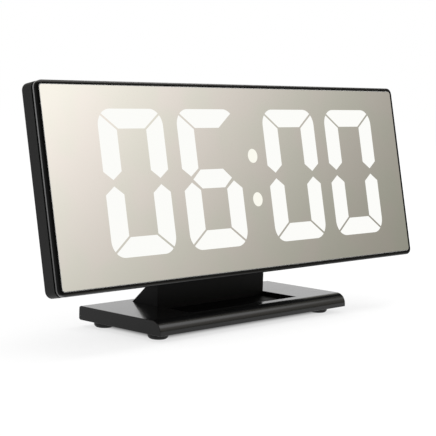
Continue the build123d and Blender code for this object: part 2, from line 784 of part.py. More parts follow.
def control_chip():
    plan = Pos(CONTROL_LEG_X, CONTROL_CHIP_UP) * Rectangle(CHIP_W, CHIP_L)
    return slab(plan, CONTROL_D - CHIP_T, CONTROL_D)


def clock_crystal():
    can = Pos(CONTROL_LEG_X, CONTROL_D - CRYSTAL_D / 2, CRYSTAL_UP) * Rot(0, 90, 0)
    return can * Cylinder(CRYSTAL_D / 2, CRYSTAL_L)


def usb_socket():
    mouth = HUMP_D - USB_SET
    shell = slab(usb_outline(0), CONTROL_BACK, mouth)
    shell -= slab(usb_outline(-USB_WALL), mouth - USB_DEEP, mouth + OVERRUN)
    tongue_plan = Pos(CONTROL_LEG_X, USB_UP) * Rectangle(USB_TONGUE_W, USB_TONGUE_T)
    return shell + slab(tongue_plan, mouth - USB_DEEP, mouth - USB_TONGUE_SET)


def ribbon_cable():
    """Flat lead between the two boards, bowed upwards."""
    middle = (BOARD_BACK + CONTROL_D) / 2
    high = RIBBON_UP + RIBBON_T
    under = ThreePointArc((BOARD_BACK, RIBBON_UP), (middle, RIBBON_UP + RIBBON_BOW), (CONTROL_D, RIBBON_UP))
    over = ThreePointArc((CONTROL_D, high), (middle, high + RIBBON_BOW), (BOARD_BACK, high))
    ends = Line(under @ 1, over @ 0) + Line(over @ 1, under @ 0)
    return beam(CONTROL_LEG_X, RIBBON_W, make_face(under + over + ends))


def buzzer():
    return rod(-BUZZER_X, BUZZER_UP, BUZZER_D, HUMP_FLOOR - BUZZER_T, HUMP_FLOOR)


STAND_PIECES = [base_cover, base_floor, feet, base_screws, neck_bracket]
HEAD_PIECES = [stand_screws, front_frame, mirror_lens, lens_tape, unlit_segments, colon_dots,
               segment_housing, display_board, display_leds, display_driver, board_screws,
               rear_cover, cover_screws, battery_cells, cell_plates, cell_springs, battery_door,
               key_switches, control_board, control_screws, control_chip, clock_crystal,
               usb_socket, ribbon_cable, buzzer]

nodes = {make.__name__: make() for make in STAND_PIECES}
head_nodes = {make.__name__: make() for make in HEAD_PIECES}
head_nodes.update({name: lit_segments(name) for name in FIGURES})
head_nodes.update({name + "_key": key(name) for name in KEY_NAMES})
head_nodes.update({name + "_plunger": plunger(name) for name in KEY_NAMES})
for name, shape in head_nodes.items():
    nodes[name] = [HEAD * piece for piece in shape] if isinstance(shape, list) else HEAD * shape

os.makedirs("parts", exist_ok=True)
for name, shape in nodes.items():
    export_step(Compound(children=shape) if isinstance(shape, list) else shape, f"parts/{name}.step")
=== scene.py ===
from math import cos, pi, radians, sin

import bmesh
import bpy
import numpy as np
from mathutils import Matrix, Vector


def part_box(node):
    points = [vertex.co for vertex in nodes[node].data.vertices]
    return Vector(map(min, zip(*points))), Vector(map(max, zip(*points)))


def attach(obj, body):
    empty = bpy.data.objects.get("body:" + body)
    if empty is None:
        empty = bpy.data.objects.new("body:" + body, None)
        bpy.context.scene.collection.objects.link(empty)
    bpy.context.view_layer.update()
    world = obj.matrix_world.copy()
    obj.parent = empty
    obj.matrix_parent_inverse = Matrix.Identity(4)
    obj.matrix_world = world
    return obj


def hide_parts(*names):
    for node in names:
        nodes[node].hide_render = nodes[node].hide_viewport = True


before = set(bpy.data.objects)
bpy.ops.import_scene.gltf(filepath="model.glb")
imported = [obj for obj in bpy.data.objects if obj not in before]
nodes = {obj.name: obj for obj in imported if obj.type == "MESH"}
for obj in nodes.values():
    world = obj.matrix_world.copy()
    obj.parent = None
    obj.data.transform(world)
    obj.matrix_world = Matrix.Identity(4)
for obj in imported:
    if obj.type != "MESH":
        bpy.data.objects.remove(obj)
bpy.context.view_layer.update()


# Base cover
# A slim shell of black plastic with a rolled front edge, open below, lacquered more thinly on its two ends.
# The neck's foot lies in the window in its top, and the floor plate closes it underneath.

mm = 0.001
rightward = (1, 0, 0)
weld = 0.002 * mm
flat_angle, hard_angle = radians(0.5), radians(35)


class Flow:
    """One socket of a node tree. Sums and products of flows add Math nodes; node() adds any other node."""

    def __init__(self, tree, socket=None):
        self.tree = tree
        self.socket = socket

    def feed(self, target, value):
        """Links a flow to a socket, or sets a plain value on it."""
        if isinstance(value, Flow):
            self.tree.links.new(value.socket, target)
        else:
            target.default_value = value

    def node(self, kind, settings=None, sockets=None, out=0):
        """Adds a node of that type: its settings first, then the values or links of its sockets."""
        made = self.tree.nodes.new(kind)
        for name, value in (settings or {}).items():
            setattr(made, name, value)
        for name, value in (sockets or {}).items():
            self.feed(made.inputs[name], value)
        return Flow(self.tree, made.outputs[out])

    def math(self, operation, first, second=0.0):
        return self.node("ShaderNodeMath", {"operation": operation}, {0: first, 1: second})

    def __add__(self, other):
        return self.math("ADD", self, other)

    def __sub__(self, other):
        return self.math("SUBTRACT", self, other)

    def __rsub__(self, other):
        return self.math("SUBTRACT", other, self)

    def __mul__(self, other):
        return self.math("MULTIPLY", self, other)

    __radd__ = __add__
    __rmul__ = __mul__

    def at_least(self, other):
        return self.math("MAXIMUM", self, other)

    def at_most(self, other):
        return self.math("MINIMUM", self, other)

    def size(self):
        return self.math("ABSOLUTE", self)

    def root(self):
        return self.math("SQRT", self)

    def along(self, direction):
        """How far these coordinates reach in one direction: their dot product with it."""
        settings = {"operation": "DOT_PRODUCT"}
        return self.node("ShaderNodeVectorMath", settings, {0: self, 1: direction}, out="Value")

    def ease(self, low, high):
        """A smooth step from 0 at low to 1 at high."""
        sockets = {"Value": self, "From Min": low, "From Max": high}
        return self.node("ShaderNodeMapRange", {"interpolation_type": "SMOOTHSTEP"}, sockets)

    def blend(self, first, second):
        """A colour that goes from the first to the second as this value goes from 0 to 1."""
        return self.node("ShaderNodeMix", {"data_type": "RGBA"}, {0: self, 6: first, 7: second}, out=2)

    def noise(self, size, detail=2):
        """Cloudy noise from 0 to 1 over these coordinates, in blots of that size."""
        return self.node("ShaderNodeTexNoise", None, {"Vector": self, "Scale": 1 / size, "Detail": detail})

    def relief(self, depth):
        """A normal tilted by this value as a height of that depth."""
        return self.node("ShaderNodeBump", None, {"Height": self, "Distance": depth})

    def into(self, shader, socket):
        self.tree.links.new(self.socket, shader.inputs[socket])


def new_finish(name, constants):
    """A material with these constants on its shader; returns it, the shader and Object coordinates."""
    made = bpy.data.materials.new(name)
    made.use_nodes = True
    shader = made.node_tree.nodes["Principled BSDF"]
    for socket, value in constants.items():
        shader.inputs[socket].default_value = value
    return made, shader, Flow(made.node_tree).node("ShaderNodeTexCoord", out="Object")


def grey(level):
    return (level, level, level, 1)


def merged(node):
    """A CAD node's mesh with its doubled points merged and its flats made whole."""
    form = bmesh.new()
    form.from_mesh(nodes[node].data)
    bmesh.ops.remove_doubles(form, verts=form.verts, dist=weld)
    bmesh.ops.dissolve_limit(form, angle_limit=flat_angle, verts=form.verts, edges=form.edges)
    return form


def show(name, form, finish, edge=0):
    """An object of a built form in one finish: smooth faces, hard edges kept or, with an edge width, rounded,
    and shading that follows the larger faces."""
    mesh = bpy.data.meshes.new(name)
    form.to_mesh(mesh)
    form.free()
    mesh.materials.append(finish)
    mesh.shade_smooth()
    mesh.set_sharp_from_angle(angle=hard_angle)
    made = bpy.data.objects.new(name, mesh)
    bpy.context.scene.collection.objects.link(made)
    if edge:
        bevel = made.modifiers.new("eased_edges", "BEVEL")
        bevel.width = edge
        bevel.segments = 2
        bevel.limit_method = "ANGLE"
        bevel.angle_limit = hard_angle
    even = made.modifiers.new("even_flats", "WEIGHTED_NORMAL")
    even.keep_sharp = True
    even.weight = 100
    return made


base_low, base_high = np.array(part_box("base_cover"))
base_gloss = {"Specular IOR Level": 0.15, "Coat IOR": 1.4, "Coat Roughness": 0.08}
base_finish, base_skin, base_place = new_finish("polished_black", base_gloss)
base_cloud = base_place.noise(18 * mm, 3)
base_dust = base_place.noise(0.5 * mm, 1).ease(0.72, 0.8)
(base_dust * 0.5).blend(grey(0.006), grey(0.05)).into(base_skin, "Base Color")
(base_cloud * 0.06 + base_dust * 0.1 + 0.18).into(base_skin, "Roughness")
base_end = base_place.along(rightward).size().ease(base_high[0] - 0.6 * mm, base_high[0] - 0.2 * mm)
(0.45 - base_end * 0.2).into(base_skin, "Coat Weight")
base_place.noise(1.6 * mm).relief(0.002 * mm).into(base_skin, "Normal")

base = show("base_moulding", merged("base_cover"), base_finish, edge=0.3 * mm)
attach(base, "clock")
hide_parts("base_cover")


# Base floor
# A flat plate of black plastic with a dull grain that closes the base from below.
# Four screws hold it, and it carries the feet in shallow seats.

def plastic(name, dark, pale, rough, gloss, grain, depth):
    """Moulded plastic: slow noise moves the tone from dark to pale and the roughness by a tenth; fine noise
    of the grain's size lifts the skin by depth."""
    made, shader, place = new_finish(name, {"Specular IOR Level": gloss})
    slow = place.noise(16 * mm, 3)
    slow.blend(dark, pale).into(shader, "Base Color")
    (slow * 0.1 + rough).into(shader, "Roughness")
    place.noise(grain).relief(depth).into(shader, "Normal")
    return made


def dress(finish, *names):
    """Puts a finish on CAD nodes whose shape is right as it is."""
    for name in names:
        for slot in nodes[name].material_slots:
            slot.material = finish


dull_floor = plastic("dull_floor", grey(0.012), grey(0.02), rough=0.5, gloss=0.35, grain=0.3 * mm,
                     depth=0.02 * mm)
dress(dull_floor, "base_floor")


# Feet
# Four round pads of moulded black rubber with a well rounded lower edge, pressed into the floor's seats.
# Each is a profile turned about its own axis, a little dished where it stands.

def turned(profile, steps):
    """Surface of revolution: every (radius, height) of the profile carried once round the Z axis."""
    turn = np.linspace(0, 2 * pi, steps, endpoint=False)
    radius, height = np.asarray(profile, float).T[:, :, None]
    return np.stack([radius * np.cos(turn), radius * np.sin(turn), height + 0 * turn], -1)


def arc(centre, radius, start, end, steps):
    """Points of a circular arc in a profile's plane, from one angle in degrees to another."""
    angle = np.radians(np.linspace(start, end, steps))
    return np.stack([centre[0] + radius * np.cos(angle), centre[1] + radius * np.sin(angle)], -1)


def put(name, finish, grids, wrap_rows=False):
    """One object from grids of points (rows, columns, 3) whose columns close on themselves. Each quad joins
    neighbours along both directions; coincident points are merged and faces turned outwards."""
    points, quads, first = [], [], 0
    for grid in grids:
        rows, columns = grid.shape[:2]
        i, j = np.meshgrid(np.arange(rows if wrap_rows else rows - 1), np.arange(columns), indexing="ij")
        after, beside = (i + 1) % rows, (j + 1) % columns
        corners = [i * columns + j, after * columns + j, after * columns + beside, i * columns + beside]
        quads.append(np.stack(corners, -1).reshape(-1, 4) + first)
        points.append(grid.reshape(-1, 3))
        first += rows * columns
    mesh = bpy.data.meshes.new(name + "_grid")
    mesh.from_pydata(np.concatenate(points).tolist(), [], np.concatenate(quads).tolist())
    form = bmesh.new()
    form.from_mesh(mesh)
    bpy.data.meshes.remove(mesh)
    bmesh.ops.remove_doubles(form, verts=form.verts, dist=weld)
    bmesh.ops.recalc_face_normals(form, faces=form.faces)
    return show(name, form, finish)


foot_radius, foot_height, foot_round = 3.65 * mm, 2.9 * mm, 1.4 * mm
foot_dish = np.array([(0, 0.12), (1.6, 0.1), (2.0, 0)]) * mm
foot_x, foot_y = (-44.8 * mm, 43 * mm), (-13.3 * mm, 13.9 * mm)
foot_edge = arc((foot_radius - foot_round, foot_round), foot_round, -90, 0, 12)
foot_profile = np.vstack([foot_dish, foot_edge, [(foot_radius, foot_height), (0, foot_height)]])
foot_form = turned(foot_profile, 48)
rubber = plastic("foot_rubber", grey(0.006), grey(0.012), rough=0.5, gloss=0.3, grain=0.4 * mm,
                 depth=0.02 * mm)
feet = put("rubber_feet", rubber, [foot_form + (x, y, 0) for x in foot_x for y in foot_y])
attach(feet, "clock")
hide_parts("feet")


# Base screws
# Four small plated steel screws with a cross recess, driven up through the floor into bosses of the cover.
# Their round heads show on the underside, between the feet.

def metal(name, dark, pale, rough, grain, depth):
    """Plated metal: noise of the grain's size moves the tone and the roughness, and finer noise lifts the
    skin by depth."""
    made, shader, place = new_finish(name, {"Metallic": 1.0})
    slow = place.noise(grain, 3)
    slow.blend(dark, pale).into(shader, "Base Color")
    (slow * 0.14 + rough).into(shader, "Roughness")
    place.noise(grain / 4).relief(depth).into(shader, "Normal")
    return made


shank_radius, head_radius, head_thick = 1.1 * mm, 2.0 * mm, 0.9 * mm
cross_reach, cross_half, cross_soft = 1.16 * mm, 0.3 * mm, 0.08 * mm
dome_fall_share, cross_depth_share, rim_share, seat_share = 0.45, 0.5, 0.15, 0.94


def cross_screw(length):
    """A screw along Z with its seat at zero: the head is a low dome, height falling with the square of the
    radius, less a cross whose two arms are steep ramps across their width and length; then rim and shank."""
    turn = np.linspace(0, 2 * pi, 48, endpoint=False)
    radius = np.linspace(0, head_radius, 15)[:, None]
    x, y = radius * np.cos(turn), radius * np.sin(turn)

    def arm(along, across):
        ends = np.clip((cross_reach - np.abs(along)) / cross_soft, 0, 1)
        sides = np.clip((cross_half - np.abs(across)) / cross_soft, 0, 1)
        return ends * sides

    cross = np.maximum(arm(x, y), arm(y, x))
    dome = 1 - dome_fall_share * (radius / head_radius) ** 2 - cross_depth_share * cross
    top = np.stack([x, y, head_thick * dome + 0 * turn], -1)
    rim = [(head_radius, rim_share * head_thick), (seat_share * head_radius, 0), (shank_radius, 0)]
    tip = [(shank_radius, -length + shank_radius * 2 / 3), (shank_radius / 3, -length), (0, -length)]
    return np.vstack([top, turned(rim + tip, 48)])


steel = metal("screw_steel", grey(0.42), grey(0.6), rough=0.24, grain=0.6 * mm, depth=0.003 * mm)
base_screw_x, base_screw_y = 41 * mm, 4.5 * mm
base_screw = cross_screw(3.5 * mm) * (1, -1, -1) + (0, 0, base_low[2])
base_screw_places = [(x, y, 0) for x in (-base_screw_x, base_screw_x) for y in (-base_screw_y, base_screw_y)]
base_screws = put("base_screw_set", steel, [base_screw + place for place in base_screw_places])
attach(base_screws, "clock")
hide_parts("base_screws")


# Neck
# A wedge of dull black plastic, its flat foot trapped between the base's cover and floor.
# Its tongue goes up into a socket of the head and is screwed there from behind.

dull_neck = plastic("dull_neck", grey(0.003), grey(0.005), rough=0.42, gloss=0.1, grain=0.25 * mm,
                    depth=0.008 * mm)
neck = show("neck_moulding", merged("neck_bracket"), dull_neck, edge=0.25 * mm)
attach(neck, "clock")
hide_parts("neck_bracket")


# Front frame
# The thin rim of black plastic that holds the mirror, one moulded ring: dull in front, its rails polished
# towards the left, and a bead behind the lip painted paler as a highlight that fades towards the bottom.
# It plugs into the rear cover, and a groove parts the two.

lean = radians(11.8)
panel_up, panel_back = np.array((0, sin(lean), cos(lean))), np.array((0, cos(lean), -sin(lean)))
head_lift = 12.55 * mm
head_half, head_height, head_corner = 95 * mm, 69.1 * mm, 2.6 * mm
mouth_half, mouth_low, mouth_high, mouth_corner = 94.25 * mm, 1.4 * mm, 67.95 * mm, 1.3 * mm
least_corner = 0.4 * mm
rim_depth, rim_turn, lip_depth, lip_width, mouth_turn = 2.4 * mm, 0.2 * mm, 1 * mm, 0.6 * mm, 0.1 * mm
ledge_depth, ledge_width, plug_depth, plug_inset = 1.7 * mm, 2.4 * mm, 4.6 * mm, 1.75 * mm


def head(points):
    """Points of the upright head (across, up, depth behind the front) leant back about its lower front
    edge: that edge plus each measure along its own axis."""
    across, rise, depth = np.moveaxis(np.asarray(points, float), -1, 0)[..., None]
    edge = np.array((0, base_low[1], base_high[2] + head_lift))
    return edge + across * rightward + rise * panel_up + depth * panel_back


def past(place, direction, start):
    """How far coordinates lie beyond a point of the head in one direction."""
    return place.along(direction) - float(head(start) @ direction)


def rounded(half, low, high, radius, depth, steps=12):
    """A closed line round a rounded rectangle at one depth: four quarter circles, each about its own corner's
    centre."""
    quarter = np.arange(4)[:, None] * pi / 2
    angle = (quarter + np.linspace(0, pi / 2, steps)).ravel()
    side = np.repeat([(1, 1), (-1, 1), (-1, -1), (1, -1)], steps, 0)
    across = side[:, 0] * (half - radius) + radius * np.cos(angle)
    rise = (low + high) / 2 + side[:, 1] * ((high - low) / 2 - radius) + radius * np.sin(angle)
    return np.stack([across, rise, np.full(angle.shape, depth)], -1)


def outer(inset, depth):
    """The head's outline drawn in by a margin."""
    corner = max(head_corner - inset, least_corner)
    return rounded(head_half - inset, inset, head_height - inset, corner, depth)


def inner(inset, depth):
    """The frame's opening drawn in by a margin."""
    corner = max(mouth_corner - inset, least_corner)
    return rounded(mouth_half - inset, mouth_low + inset, mouth_high - inset, corner, depth)


leftward = (-1, 0, 0)
frame_gloss = {"Specular IOR Level": 0.05, "Coat Roughness": 0.1}
frame_finish, frame_skin, frame_place = new_finish("polished_rim", frame_gloss)
frame_cloud = frame_place.noise(16 * mm, 3)
frame_bead = past(frame_place, panel_back, (0, 0, 0)).ease(1.65 * mm, 1.75 * mm)
frame_rise = past(frame_place, panel_up, (0, head_height / 2, 0))
# Painted highlight: the bead is coloured paler than the rim, most at the top and fading towards the bottom.
bead_painted_highlight = frame_rise.ease(-40 * mm, 20 * mm).blend(grey(0.05), grey(0.17))
frame_bead.blend(frame_cloud.blend(grey(0.0015), grey(0.003)), bead_painted_highlight).into(frame_skin, "Base Color")
(frame_cloud * 0.1 + 0.3).into(frame_skin, "Roughness")
frame_rail = frame_rise.size().ease(33.5 * mm, 33.9 * mm)
frame_polish = frame_place.along(leftward).ease(-20 * mm, 90 * mm) * 0.55 + 0.25
frame_bead.at_least(frame_rail * frame_polish).into(frame_skin, "Coat Weight")
frame_place.noise(0.2 * mm).relief(0.004 * mm).into(frame_skin, "Normal")

rim_arc = arc((rim_turn, rim_depth - rim_turn), rim_turn, 90, 180, 5)
lip_arc = arc((1, 1), 1, 180, 270, 11) * (lip_width, lip_depth)
mouth_arc = arc((-mouth_turn, mouth_turn), mouth_turn, -90, 0, 5)
frame_loops = [outer(inset, depth) for inset, depth in np.vstack([rim_arc, lip_arc])]
frame_loops += [inner(inset, depth) for inset, depth in mouth_arc]
frame_loops += [inner(0, ledge_depth), inner(ledge_width, ledge_depth), inner(ledge_width, plug_depth)]
frame_loops += [outer(plug_inset, plug_depth), outer(plug_inset, rim_depth)]
front = put("frame_ring", frame_finish, [head(np.stack(frame_loops))], wrap_rows=True)
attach(front, "clock")
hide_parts("front_frame")


# Mirror sheet
# A sheet of acrylic with a silvered face, cut with a fine bevel coloured a dull near-white, and with windows for the
# light pipes.
# A ring of black tape sticks it to the ledge of the frame.

sheet_gap, sheet_corner, bevel_width, bevel_soft = 0.15 * mm, 1.3 * mm, 0.25 * mm, 0.01 * mm
sheet_half = mouth_half - sheet_gap
sheet_middle = (0, (mouth_low + mouth_high) / 2, 0)
sheet_rise = (mouth_high - mouth_low) / 2 - sheet_gap

mirror_finish, mirror_skin, mirror_place = new_finish("silvered_face", {})
mirror_right = (mirror_place.along(rightward).size() - (sheet_half - sheet_corner)).at_least(0)
mirror_high = (past(mirror_place, panel_up, sheet_middle).size() - (sheet_rise - sheet_corner)).at_least(0)
mirror_reach = (mirror_right * mirror_right + mirror_high * mirror_high).root()
bevel_start = sheet_corner - bevel_width
mirror_bevel = mirror_reach.ease(bevel_start - bevel_soft, bevel_start + bevel_soft)
mirror_haze = mirror_place.noise(30 * mm, 3)
mirror_tinge = mirror_place.noise(17 * mm, 1).ease(0.35, 0.65)
mirror_silver = mirror_tinge.blend((0.68, 0.688, 0.666, 1), (0.702, 0.684, 0.68, 1))
mirror_bevel.blend(mirror_silver, (0.93, 0.93, 0.9, 1)).into(mirror_skin, "Base Color")
(1 - mirror_bevel).into(mirror_skin, "Metallic")
(mirror_haze * 0.03 + mirror_bevel * 0.3 + 0.03).into(mirror_skin, "Roughness")
mirror_place.noise(40 * mm).relief(0.004 * mm).into(mirror_skin, "Normal")
dress(mirror_finish, "mirror_lens")

tape = plastic("black_tape", grey(0.012), grey(0.02), rough=0.7, gloss=0.3, grain=0.2 * mm, depth=0.01 * mm)
dress(tape, "lens_tape")


# Light pipes
# Clear segments with a milky face, pressed into the windows flush with the mirror and lit from behind.
# They show 06:00; the dark ones are silvered like the sheet.

pipe_seam, pipe_stand = 0.09 * mm, 0.004 * mm


def lit(name, cool, warm):
    """A milky face that glows: slow noise moves the glow from cool to warm white, as light from several
    lamps."""
    milky = {"Roughness": 0.4, "Emission Strength": 0.93, "Specular IOR Level": 0.2}
    made, shader, place = new_finish(name, milky)
    slow = place.noise(9 * mm)
    slow.blend(cool, warm).into(shader, "Emission Color")
    slow.blend(grey(0.05), grey(0.08)).into(shader, "Base Color")
    return made


def pressed(node, finish):
    """A node's light pipes drawn out by the width of their seam, as a press fit closes it: each point moves
    outwards in the panel's plane, and the faces stand forward by a hair."""
    pipes = show(node + "_pipes", merged(node), finish)
    count = len(pipes.data.vertices)
    points, normals = np.empty(count * 3), np.empty(count * 3)
    pipes.data.vertices.foreach_get("co", points)
    pipes.data.vertex_normals.foreach_get("vector", normals)
    outward = normals.reshape(-1, 3)
    outward = outward - np.outer(outward @ panel_back, panel_back)
    outward /= np.linalg.norm(outward, axis=1)[:, None]
    moved = points.reshape(-1, 3) + pipe_seam * outward - pipe_stand * panel_back
    pipes.data.vertices.foreach_set("co", moved.ravel())
    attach(pipes, "clock")
    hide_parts(node)


lit_white = lit("lit_white", (0.975, 0.975, 0.952, 1), (0.96, 0.962, 0.928, 1))
for figure in ("hour_tens", "hour_units", "minute_tens", "minute_units"):
    pressed(figure, lit_white)
pressed("colon_dots", lit("lit_dot", (0.977, 0.965, 0.878, 1), (0.948, 0.936, 0.841, 1)))
pressed("unlit_segments", mirror_finish)


# Display block and board
# A white block of light wells on a green board that carries a yellow lamp for each well and the driver chip.
# Four screws hold the two together behind the mirror.

def circuit_board(name):
    """Solder resist over copper: two crossed wave bands, cut by noise, raise the tracks and make them
    paler."""
    made, shader, place = new_finish(name, {"Specular IOR Level": 0.4})
    tracks = []
    for direction in ("X", "Z"):
        settings = {"wave_type": "BANDS", "bands_direction": direction}
        sockets = {"Vector": place, "Scale": 180, "Distortion": 1.5}
        tracks.append(place.node("ShaderNodeTexWave", settings, sockets, out=1).ease(0.78, 0.86))
    where = place.noise(9 * mm).ease(0.47, 0.53)
    copper = tracks[0] * where + tracks[1] * (1 - where)
    copper.blend((0.01, 0.09, 0.03, 1), (0.03, 0.2, 0.06, 1)).into(shader, "Base Color")
    (copper * -0.1 + 0.4).into(shader, "Roughness")
    copper.relief(0.03 * mm).into(shader, "Normal")
    return made


chip_case = plastic("chip_case", grey(0.012), grey(0.025), rough=0.5, gloss=0.4, grain=0.15 * mm,
                    depth=0.01 * mm)
wells = plastic("white_wells", grey(0.7), grey(0.78), rough=0.5, gloss=0.45, grain=0.3 * mm, depth=0.01 * mm)
lamp_yellow = plastic("lamp_yellow", (0.75, 0.55, 0.12, 1), (0.85, 0.68, 0.2, 1), rough=0.3, gloss=0.5,
                      grain=0.2 * mm, depth=0.005 * mm)
dress(wells, "segment_housing")
dress(lamp_yellow, "display_leds")
dress(circuit_board("green_board"), "display_board", "control_board")
dress(chip_case, "display_driver", "control_chip", "key_switches")
dress(steel, "board_screws", "control_screws")


# Rear cover
# The back of the head, moulded in black plastic with a fine grain: side wall, shallow pan and deep hump.
# The hump has the battery bay, four key holes, the power inlet, the sounder's holes and the neck's socket.

cover_edge = 0.15 * mm
cover_finish = plastic("grained_black", grey(0.006), grey(0.010), rough=0.36, gloss=0.16, grain=0.22 * mm,
                       depth=0.012 * mm)
cover = show("cover_moulding", merged("rear_cover"), cover_finish, cover_edge)
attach(cover, "clock")
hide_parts("rear_cover")


# Control board's parts
# Crystal can, ribbon lead, sounder, white switch plungers and the power inlet, a nickel shell round a dark
# tongue. They sit inside the hump; only the inlet's mouth shows.

nickel = metal("bright_nickel", grey(0.5), grey(0.66), rough=0.2, grain=1.5 * mm, depth=0.002 * mm)
dress(nickel, "clock_crystal", "cell_plates", "cell_springs")
sounder = plastic("sounder_case", grey(0.012), grey(0.02), rough=0.45, gloss=0.4, grain=0.2 * mm,
                  depth=0.01 * mm)
dress(sounder, "buzzer")
plunger_white = plastic("plunger_white", grey(0.68), grey(0.75), rough=0.45, gloss=0.45, grain=0.2 * mm,
                        depth=0.005 * mm)
dress(plunger_white, "set_plunger", "mode_plunger", "up_plunger", "down_plunger")

ribbon_finish, ribbon_skin, ribbon_place = new_finish("ribbon_lead", {"Specular IOR Level": 0.4})
ribbon_sockets = {"Vector": ribbon_place, "Scale": 250}
ribbon_wires = ribbon_place.node("ShaderNodeTexWave", {"bands_direction": "X"}, ribbon_sockets, out=1)
ribbon_wires.blend(grey(0.2), grey(0.45)).into(ribbon_skin, "Base Color")
(ribbon_wires * 0.1 + 0.4).into(ribbon_skin, "Roughness")
ribbon_wires.relief(0.2 * mm).into(ribbon_skin, "Normal")
dress(ribbon_finish, "ribbon_cable")

inlet_middle, tongue_half, tongue_soft = (0, 12.5 * mm, 0), 0.4 * mm, 0.02 * mm
inlet_finish, inlet_skin, inlet_place = new_finish("inlet_shell", {})
inlet_off = past(inlet_place, panel_up, inlet_middle).size()
inlet_shell = inlet_off.ease(tongue_half - tongue_soft, tongue_half + tongue_soft)
inlet_shell.blend(grey(0.015), grey(0.6)).into(inlet_skin, "Base Color")
inlet_shell.into(inlet_skin, "Metallic")
(inlet_place.noise(1.2 * mm) * 0.15 + 0.2).into(inlet_skin, "Roughness")
dress(inlet_finish, "usb_socket")


# Keys
# Four round keys of black plastic in holes of the hump, each with a flange behind that keeps it in.
# A pale mark is printed on each crown: a ring, three bars and two arrowheads.

def prism(outline, near, far):
    """A flat shape with thickness: its outline at two depths, each closed by a fan to its middle."""
    flat = np.asarray(outline, float)
    middle = np.broadcast_to(flat.mean(0), flat.shape)
    layers = [(middle, near), (flat, near), (flat, far), (middle, far)]
    return np.stack([np.column_stack([shape, np.full(len(shape), depth)]) for shape, depth in layers])


def bar_outline(rise, width, height):
    """A rectangle about the middle line, at a height up the panel."""
    corners = np.array([(-1, -1), (1, -1), (1, 1), (-1, 1)]) * (width / 2, height / 2)
    return corners + (0, rise)


key_x, key_rise, key_top = (-25.5 * mm, -8.5 * mm, 8.5 * mm, 25.5 * mm), 46.9 * mm, 30.2 * mm
mark_low, mark_high = key_top - 0.05 * mm, key_top + 0.04 * mm
ring_inside, ring_outside = 0.85 * mm, 1.25 * mm
bar_width, bar_height, bar_pitch = 2.4 * mm, 0.4 * mm, 0.8 * mm
arrowhead = np.array([(-1.2, -0.8), (1.2, -0.8), (0, 1.1)]) * mm

ring_wall = [(ring_inside, mark_low), (ring_outside, mark_low)]
ring_wall += [(ring_outside, mark_high), (ring_inside, mark_high)]
bar_outlines = [bar_outline(rise, bar_width, bar_height) for rise in (-bar_pitch, 0, bar_pitch)]
key_marks = {"set": [turned(ring_wall, 40)],
             "mode": [prism(outline, mark_low, mark_high) for outline in bar_outlines],
             "up": [prism(arrowhead, mark_low, mark_high)],
             "down": [prism(arrowhead * (1, -1), mark_low, mark_high)]}
key_finish = plastic("key_black", grey(0.012), grey(0.02), rough=0.32, gloss=0.4, grain=0.2 * mm,
                     depth=0.005 * mm)
pale_print = plastic("pale_print", grey(0.5), grey(0.62), rough=0.55, gloss=0.4, grain=0.15 * mm,
                     depth=0.002 * mm)
for across, (key_name, key_mark) in zip(key_x, key_marks.items()):
    key = show(key_name + "_cap", merged(key_name + "_key"), key_finish, edge=0.08 * mm)
    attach(key, key_name + "_button")
    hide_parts(key_name + "_key")
    mark_grids = [head(grid + (across, key_rise, 0)) for grid in key_mark]
    mark = put(key_name + "_mark", pale_print, mark_grids, wrap_rows=key_name == "set")
    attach(mark, key_name + "_button")


# Cells
# Three small round cells in printed plastic sleeves, laid head to tail in the bay between nickel contacts.
# The sleeve is plain grey with a dark ring near the raised end; both ends are bare steel.

cell_rows = [(14.4 * mm, 1), (25.2 * mm, -1), (36.0 * mm, 1)]
cell_depth, cell_end, cell_length = 21.85 * mm, 24.35 * mm, 44.5 * mm
cell_profile = np.array([(0, 0.15), (3.6, 0.15), (4.0, 0.0), (4.6, 0.0), (5.1, 0.2), (5.25, 0.6),
                         (5.25, 42.9), (5.1, 43.3), (4.7, 43.5), (4.2, 43.4), (2.1, 43.4), (1.9, 43.5), (1.85, 44.3),
                         (1.6, 44.5), (0, 44.5)]) * mm
cell_form = turned(cell_profile, 48)
ring_start, ring_end, ring_soft = 36.5 * mm, 39.5 * mm, 0.1 * mm


def cell(rise, side):
    """A cell along X: the turned form's axis runs from the flat end to the raised end, on the side that it
    points to."""
    across = side * (cell_end - cell_length + cell_form[..., 2])
    return head(np.stack([across, rise + cell_form[..., 0], cell_depth + side * cell_form[..., 1]], -1))


cell_finish, cell_skin, cell_place = new_finish("printed_sleeve", {})
cell_along = cell_place.node("ShaderNodeAttribute", {"attribute_name": "along"}, out="Fac")
cell_girth = cell_place.node("ShaderNodeAttribute", {"attribute_name": "girth"}, out="Fac")
cell_sleeve = cell_girth.ease(4.3 * mm, 4.5 * mm)
cell_past_ring = cell_along.ease(ring_end - ring_soft, ring_end + ring_soft)
cell_ring = cell_along.ease(ring_start - ring_soft, ring_start + ring_soft) - cell_past_ring
cell_tone = cell_place.noise(12 * mm, 3).blend((0.24, 0.25, 0.25, 1), (0.3, 0.31, 0.31, 1))
cell_print = cell_ring.blend(cell_tone, grey(0.03))
cell_sleeve.blend(grey(0.6), cell_print).into(cell_skin, "Base Color")
(1 - cell_sleeve).into(cell_skin, "Metallic")
(cell_place.noise(3 * mm) * 0.1 + 0.25).into(cell_skin, "Roughness")

